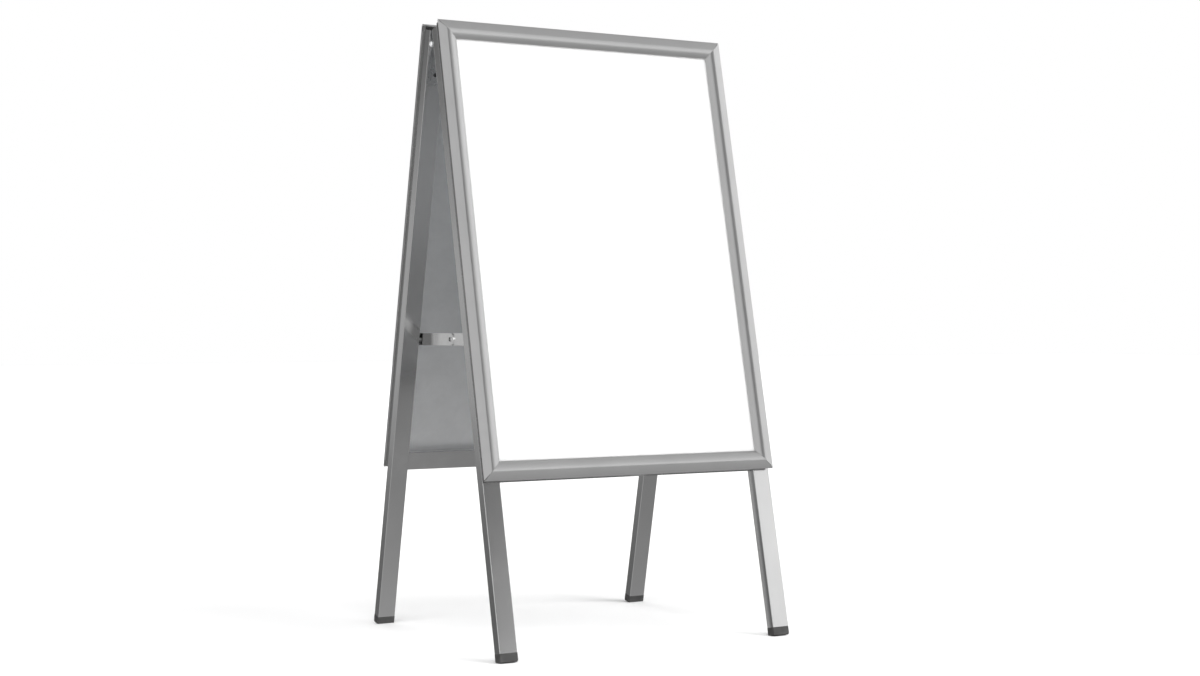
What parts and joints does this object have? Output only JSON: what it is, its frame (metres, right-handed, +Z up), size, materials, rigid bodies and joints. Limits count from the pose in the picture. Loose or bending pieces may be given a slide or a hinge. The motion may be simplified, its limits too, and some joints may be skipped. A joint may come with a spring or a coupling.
{
  "type": "sandwich board",
  "caption": "Folding A-frame pavement sign with two snap-open poster frames on tube legs, plastic feet, top hinges and folding side stays",
  "frame": {"origin": "on the floor, under the middle of the open sign", "axes": "+Z up, -Y towards the front poster, X across the poster"},
  "size_m": [0.648, 0.5774, 1.2067],
  "materials": {
    "profile": "satin silver anodised extrusion",
    "tube": "satin anodised tube",
    "foot": "matt moulded plastic",
    "panel": "zinc coated sheet",
    "board": "rigid foam board",
    "paper": "blank white poster sheet",
    "cover": "thin clear anti-glare plastic sheet",
    "steel": "zinc plated steel"
  },
  "bodies": {
    "front_leaf": {"front_left_leg": "tube", "front_right_leg": "tube", "front_top_bar": "tube", "front_bottom_bar": "tube", "front_left_foot": "foot", "front_right_foot": "foot", "front_base_top": "profile", "front_base_bottom": "profile", "front_base_left": "profile", "front_base_right": "profile", "front_back_panel": "panel", "front_backing_board": "board", "front_poster": "paper", "front_cover": "cover", "front_lid_springs": "steel", "front_corner_keys": "steel", "front_frame_rivets": "steel", "front_bracket_screws": "steel", "front_stay_pins": "steel", "left_front_hinge_bracket": "steel", "right_front_hinge_bracket": "steel", "left_hinge_rivet": "steel", "right_hinge_rivet": "steel"},
    "rear_leaf": {"rear_left_leg": "tube", "rear_right_leg": "tube", "rear_top_bar": "tube", "rear_bottom_bar": "tube", "rear_left_foot": "foot", "rear_right_foot": "foot", "rear_base_top": "profile", "rear_base_bottom": "profile", "rear_base_left": "profile", "rear_base_right": "profile", "rear_back_panel": "panel", "rear_backing_board": "board", "rear_poster": "paper", "rear_cover": "cover", "rear_lid_springs": "steel", "rear_corner_keys": "steel", "rear_frame_rivets": "steel", "rear_bracket_screws": "steel", "rear_stay_pins": "steel", "left_rear_hinge_bracket": "steel", "right_rear_hinge_bracket": "steel"},
    "left_front_stay_link": {"left_front_stay_arm": "steel"},
    "left_rear_stay_link": {"left_rear_stay_arm": "steel", "left_stay_rivet": "steel"},
    "right_front_stay_link": {"right_front_stay_arm": "steel"},
    "right_rear_stay_link": {"right_rear_stay_arm": "steel", "right_stay_rivet": "steel"},
    "front_top_lid": {"front_lid_top": "profile"},
    "front_bottom_lid": {"front_lid_bottom": "profile"},
    "front_left_lid": {"front_lid_left": "profile"},
    "front_right_lid": {"front_lid_right": "profile"},
    "rear_top_lid": {"rear_lid_top": "profile"},
    "rear_bottom_lid": {"rear_lid_bottom": "profile"},
    "rear_left_lid": {"rear_lid_left": "profile"},
    "rear_right_lid": {"rear_lid_right": "profile"}
  },
  "joints": [
    {"name": "fold", "type": "hinge", "parent": "front_leaf", "child": "rear_leaf", "pos_m": [0, 0, 1.163], "axis": [-1, 0, 0], "range_deg": [0, 25]},
    {"name": "left_front_stay_turn", "type": "hinge", "parent": "front_leaf", "child": "left_front_stay_link", "pos_m": [0, -0.14518, 0.589], "axis": [1, 0, 0], "range_deg": [0, 70.59]},
    {"name": "left_rear_stay_turn", "type": "hinge", "parent": "rear_leaf", "child": "left_rear_stay_link", "pos_m": [0, 0.14518, 0.589], "axis": [-1, 0, 0], "range_deg": [0, 70.59]},
    {"name": "right_front_stay_turn", "type": "hinge", "parent": "front_leaf", "child": "right_front_stay_link", "pos_m": [0, -0.14518, 0.589], "axis": [1, 0, 0], "range_deg": [0, 70.59]},
    {"name": "right_rear_stay_turn", "type": "hinge", "parent": "rear_leaf", "child": "right_rear_stay_link", "pos_m": [0, 0.14518, 0.589], "axis": [-1, 0, 0], "range_deg": [0, 70.59]},
    {"name": "front_top_lid_open", "type": "hinge", "parent": "front_leaf", "child": "front_top_lid", "pos_m": [0, -0.03431, 1.20216], "axis": [-1, 0, 0], "range_deg": [0, 70]},
    {"name": "front_bottom_lid_open", "type": "hinge", "parent": "front_leaf", "child": "front_bottom_lid", "pos_m": [0, -0.22729, 0.33169], "axis": [1, 0, 0], "range_deg": [0, 70]},
    {"name": "front_left_lid_open", "type": "hinge", "parent": "front_leaf", "child": "front_left_lid", "pos_m": [-0.3198, -0.1308, 0.76692], "axis": [0, -0.2164, -0.9763], "range_deg": [0, 70]},
    {"name": "front_right_lid_open", "type": "hinge", "parent": "front_leaf", "child": "front_right_lid", "pos_m": [0.3198, -0.1308, 0.76692], "axis": [0, 0.2164, 0.9763], "range_deg": [0, 70]},
    {"name": "rear_top_lid_open", "type": "hinge", "parent": "rear_leaf", "child": "rear_top_lid", "pos_m": [0, 0.03431, 1.20216], "axis": [1, 0, 0], "range_deg": [0, 70]},
    {"name": "rear_bottom_lid_open", "type": "hinge", "parent": "rear_leaf", "child": "rear_bottom_lid", "pos_m": [0, 0.22729, 0.33169], "axis": [-1, 0, 0], "range_deg": [0, 70]},
    {"name": "rear_left_lid_open", "type": "hinge", "parent": "rear_leaf", "child": "rear_left_lid", "pos_m": [-0.3198, 0.1308, 0.76692], "axis": [0, -0.2164, 0.9763], "range_deg": [0, 70]},
    {"name": "rear_right_lid_open", "type": "hinge", "parent": "rear_leaf", "child": "rear_right_lid", "pos_m": [0.3198, 0.1308, 0.76692], "axis": [0, 0.2164, -0.9763], "range_deg": [0, 70]}
  ],
  "couplings": [
    {"joint": "left_front_stay_turn", "follows": "fold", "ratio": 2.8231},
    {"joint": "left_rear_stay_turn", "follows": "fold", "ratio": 2.8231},
    {"joint": "right_front_stay_turn", "follows": "fold", "ratio": 2.8231},
    {"joint": "right_rear_stay_turn", "follows": "fold", "ratio": 2.8231}
  ]
}
